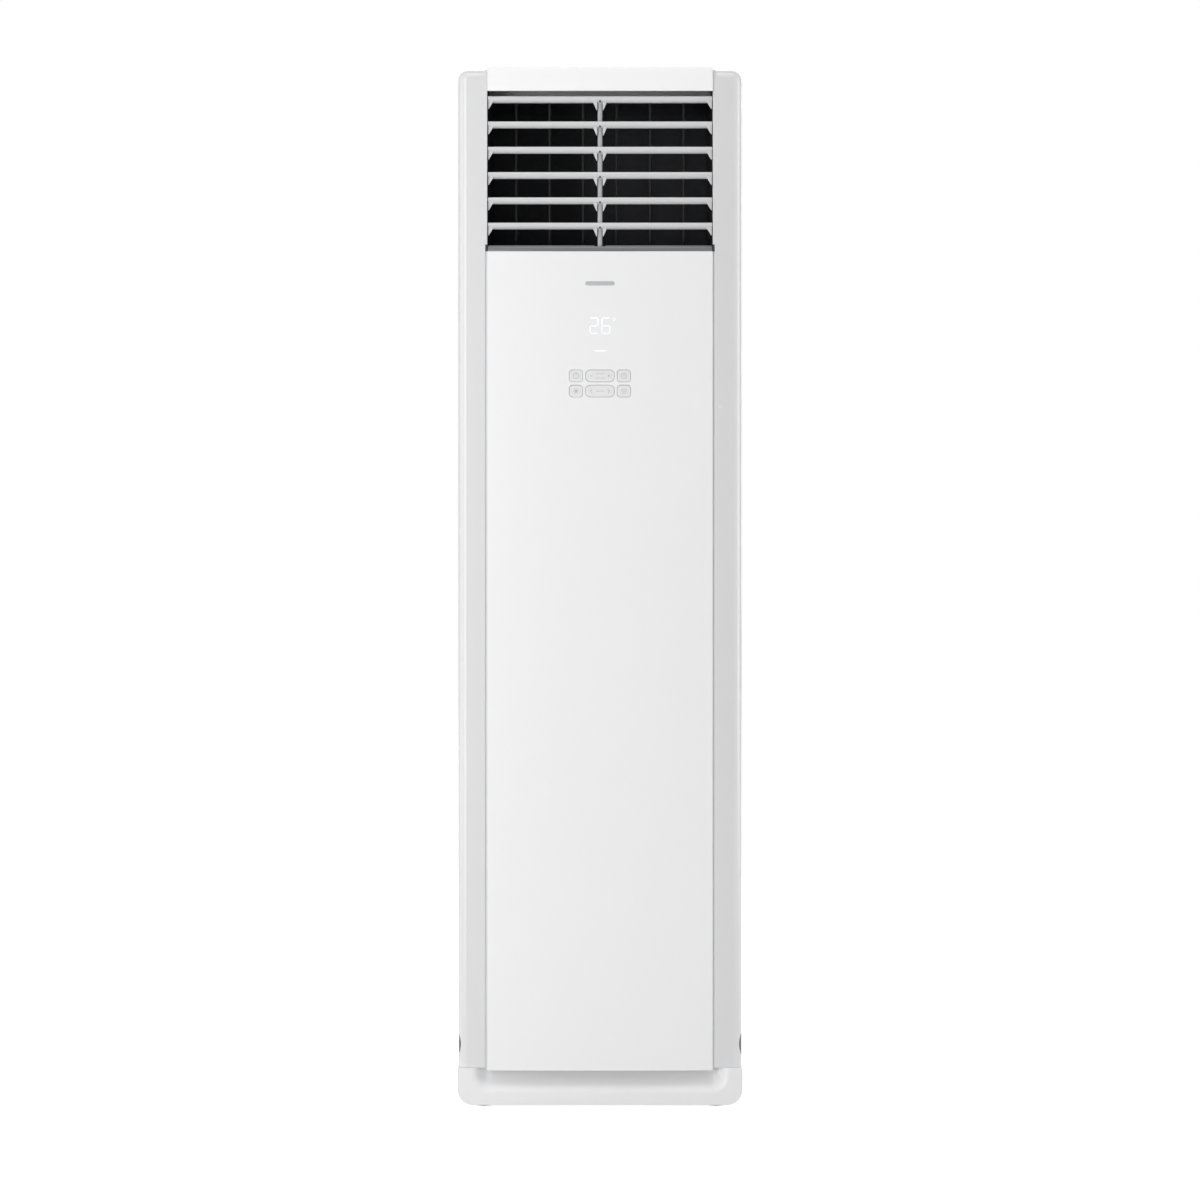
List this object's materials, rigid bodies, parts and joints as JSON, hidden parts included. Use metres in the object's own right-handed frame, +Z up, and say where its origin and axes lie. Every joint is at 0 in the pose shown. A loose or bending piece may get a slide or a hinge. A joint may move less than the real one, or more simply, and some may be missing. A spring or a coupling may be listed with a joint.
{
  "type": "floor standing air conditioner",
  "caption": "Tall floor standing air conditioner indoor unit with tilting outlet louvers, swinging vanes, side intake grilles, keys and a centrifugal fan.",
  "frame": {"origin": "middle of the footprint on the floor, under the rubber feet", "axes": "+Z up the height; +X to the right seen from the front; the front faces -Y"},
  "size_m": [0.48, 0.32, 1.75],
  "materials": {
    "white_paint": "satin powder coat",
    "white_plastic": "fine satin moulded",
    "silver_plastic": "silver painted moulding",
    "grey_plastic": "satin moulded",
    "key_plastic": "satin moulded",
    "black_plastic": "matt moulded",
    "foot_rubber": "matt",
    "galvanised_steel": "galvanised sheet",
    "fin_aluminium": "plain fin stock",
    "pipe_copper": "bare drawn copper, slightly dulled",
    "motor_steel": "pressed steel",
    "circuit_board": "lacquered board",
    "filter_mesh": "moulded frame with woven mesh"
  },
  "bodies": {
    "cabinet": {"base_plinth": "white_plastic", "top_cover": "white_plastic", "front_panel": "white_plastic", "outlet_frame": "black_plastic", "drain_tray": "white_plastic", "foot_front_left": "foot_rubber", "foot_front_right": "foot_rubber", "foot_rear_left": "foot_rubber", "foot_rear_right": "foot_rubber", "pipe_grommet": "foot_rubber", "left_corner_trim": "silver_plastic", "right_corner_trim": "silver_plastic", "left_side_panel": "white_paint", "right_side_panel": "white_paint", "rear_panel": "white_paint", "drain_hose": "filter_mesh", "cable_gland": "black_plastic", "outlet_duct": "black_plastic", "terminal_block": "black_plastic", "display_board": "circuit_board", "control_board": "circuit_board", "louver_step_motor": "galvanised_steel", "vane_step_motor": "galvanised_steel", "fan_scroll": "galvanised_steel", "fan_inlet_ring": "galvanised_steel", "fan_deck": "galvanised_steel", "electrical_box": "galvanised_steel", "electrical_box_cover": "galvanised_steel", "fan_motor": "motor_steel", "evaporator_coil": "fin_aluminium", "gas_pipe": "pipe_copper", "liquid_pipe": "pipe_copper"},
    "fan_rotor": {"fan_impeller": "black_plastic", "fan_shaft": "motor_steel"},
    "louver_link": {"louver_link_bar": "grey_plastic"},
    "louver_crank": {"louver_crank": "grey_plastic"},
    "vane_link": {"vane_link_bar": "black_plastic"},
    "left_grille": {"left_intake_grille": "white_plastic"},
    "right_grille": {"right_intake_grille": "white_plastic"},
    "left_filter": {"left_air_filter": "filter_mesh"},
    "right_filter": {"right_air_filter": "filter_mesh"},
    "louver_1": {"louver_1": "grey_plastic"},
    "louver_2": {"louver_2": "grey_plastic"},
    "louver_3": {"louver_3": "grey_plastic"},
    "louver_4": {"louver_4": "grey_plastic"},
    "louver_5": {"louver_5": "grey_plastic"},
    "louver_6": {"louver_6": "grey_plastic"},
    "vane_1": {"vane_1": "black_plastic"},
    "vane_2": {"vane_2": "black_plastic"},
    "vane_3": {"vane_3": "black_plastic"},
    "vane_4": {"vane_4": "black_plastic"},
    "vane_5": {"vane_5": "black_plastic"},
    "vane_6": {"vane_6": "black_plastic"},
    "key_left_1": {"key_left_1": "key_plastic"},
    "rocker_key_1": {"rocker_key_1": "key_plastic"},
    "key_right_1": {"key_right_1": "key_plastic"},
    "key_left_2": {"key_left_2": "key_plastic"},
    "rocker_key_2": {"rocker_key_2": "key_plastic"},
    "key_right_2": {"key_right_2": "key_plastic"}
  },
  "joints": [
    {"name": "louver_1_tilt", "type": "hinge", "parent": "cabinet", "child": "louver_1", "pos_m": [0, -0.118, 1.697], "axis": [1, 0, 0], "range_deg": [-20, 30]},
    {"name": "louver_2_tilt", "type": "hinge", "parent": "cabinet", "child": "louver_2", "pos_m": [0, -0.118, 1.6544], "axis": [1, 0, 0], "range_deg": [-20, 30]},
    {"name": "louver_3_tilt", "type": "hinge", "parent": "cabinet", "child": "louver_3", "pos_m": [0, -0.118, 1.6118], "axis": [1, 0, 0], "range_deg": [-20, 30]},
    {"name": "louver_4_tilt", "type": "hinge", "parent": "cabinet", "child": "louver_4", "pos_m": [0, -0.118, 1.5692], "axis": [1, 0, 0], "range_deg": [-20, 30]},
    {"name": "louver_5_tilt", "type": "hinge", "parent": "cabinet", "child": "louver_5", "pos_m": [0, -0.118, 1.5266], "axis": [1, 0, 0], "range_deg": [-20, 30]},
    {"name": "louver_6_tilt", "type": "hinge", "parent": "cabinet", "child": "louver_6", "pos_m": [0, -0.118, 1.484], "axis": [1, 0, 0], "range_deg": [-20, 30]},
    {"name": "louver_link_swing", "type": "hinge", "parent": "louver_1", "child": "louver_link", "pos_m": [0, -0.142, 1.694], "axis": [1, 0, 0], "range_deg": [-30, 20]},
    {"name": "louver_crank_turn", "type": "hinge", "parent": "cabinet", "child": "louver_crank", "pos_m": [0.007, -0.118, 1.405], "axis": [1, 0, 0], "range_deg": [-20, 30]},
    {"name": "vane_1_swing", "type": "hinge", "parent": "cabinet", "child": "vane_1", "pos_m": [-0.143, -0.072, 1.588], "axis": [0, 0, 1], "range_deg": [-30, 30]},
    {"name": "vane_2_swing", "type": "hinge", "parent": "cabinet", "child": "vane_2", "pos_m": [-0.0858, -0.072, 1.588], "axis": [0, 0, 1], "range_deg": [-30, 30]},
    {"name": "vane_3_swing", "type": "hinge", "parent": "cabinet", "child": "vane_3", "pos_m": [-0.0286, -0.072, 1.588], "axis": [0, 0, 1], "range_deg": [-30, 30]},
    {"name": "vane_4_swing", "type": "hinge", "parent": "cabinet", "child": "vane_4", "pos_m": [0.0286, -0.072, 1.588], "axis": [0, 0, 1], "range_deg": [-30, 30]},
    {"name": "vane_5_swing", "type": "hinge", "parent": "cabinet", "child": "vane_5", "pos_m": [0.0858, -0.072, 1.588], "axis": [0, 0, 1], "range_deg": [-30, 30]},
    {"name": "vane_6_swing", "type": "hinge", "parent": "cabinet", "child": "vane_6", "pos_m": [0.143, -0.072, 1.588], "axis": [0, 0, 1], "range_deg": [-30, 30]},
    {"name": "vane_link_swing", "type": "hinge", "parent": "vane_1", "child": "vane_link", "pos_m": [-0.143, -0.054, 1.454], "axis": [0, 0, 1], "range_deg": [-30, 30]},
    {"name": "fan_spin", "type": "hinge", "parent": "cabinet", "child": "fan_rotor", "pos_m": [0, 0, 0.33], "axis": [0, 1, 0], "continuous": true},
    {"name": "left_grille_pull", "type": "slide", "parent": "cabinet", "child": "left_grille", "axis": [-1, 0, 0], "range_m": [0, 0.03]},
    {"name": "left_filter_lift", "type": "slide", "parent": "left_grille", "child": "left_filter", "axis": [0, 0, 1], "range_m": [0, 0.12]},
    {"name": "right_grille_pull", "type": "slide", "parent": "cabinet", "child": "right_grille", "axis": [1, 0, 0], "range_m": [0, 0.03]},
    {"name": "right_filter_lift", "type": "slide", "parent": "right_grille", "child": "right_filter", "axis": [0, 0, 1], "range_m": [0, 0.12]},
    {"name": "key_left_1_press", "type": "slide", "parent": "cabinet", "child": "key_left_1", "axis": [0, 1, 0], "range_m": [0, 0.0006], "stiffness_N_per_m": 900},
    {"name": "rocker_key_1_rock", "type": "hinge", "parent": "cabinet", "child": "rocker_key_1", "pos_m": [0, -0.156, 1.2305], "axis": [0, 0, 1], "range_deg": [-1.5, 1.5], "stiffness_Nm_per_rad": 1.2},
    {"name": "key_right_1_press", "type": "slide", "parent": "cabinet", "child": "key_right_1", "axis": [0, 1, 0], "range_m": [0, 0.0006], "stiffness_N_per_m": 900},
    {"name": "key_left_2_press", "type": "slide", "parent": "cabinet", "child": "key_left_2", "axis": [0, 1, 0], "range_m": [0, 0.0006], "stiffness_N_per_m": 900},
    {"name": "rocker_key_2_rock", "type": "hinge", "parent": "cabinet", "child": "rocker_key_2", "pos_m": [0, -0.156, 1.205], "axis": [0, 0, 1], "range_deg": [-1.5, 1.5], "stiffness_Nm_per_rad": 1.2},
    {"name": "key_right_2_press", "type": "slide", "parent": "cabinet", "child": "key_right_2", "axis": [0, 1, 0], "range_m": [0, 0.0006], "stiffness_N_per_m": 900}
  ],
  "couplings": [
    {"joint": "louver_2_tilt", "follows": "louver_1_tilt", "ratio": 1},
    {"joint": "louver_3_tilt", "follows": "louver_1_tilt", "ratio": 1},
    {"joint": "louver_4_tilt", "follows": "louver_1_tilt", "ratio": 1},
    {"joint": "louver_5_tilt", "follows": "louver_1_tilt", "ratio": 1},
    {"joint": "louver_6_tilt", "follows": "louver_1_tilt", "ratio": 1},
    {"joint": "louver_link_swing", "follows": "louver_1_tilt", "ratio": -1},
    {"joint": "louver_crank_turn", "follows": "louver_1_tilt", "ratio": 1},
    {"joint": "vane_2_swing", "follows": "vane_1_swing", "ratio": 1},
    {"joint": "vane_3_swing", "follows": "vane_1_swing", "ratio": 1},
    {"joint": "vane_4_swing", "follows": "vane_1_swing", "ratio": 1},
    {"joint": "vane_5_swing", "follows": "vane_1_swing", "ratio": 1},
    {"joint": "vane_6_swing", "follows": "vane_1_swing", "ratio": 1},
    {"joint": "vane_link_swing", "follows": "vane_1_swing", "ratio": -1}
  ]
}
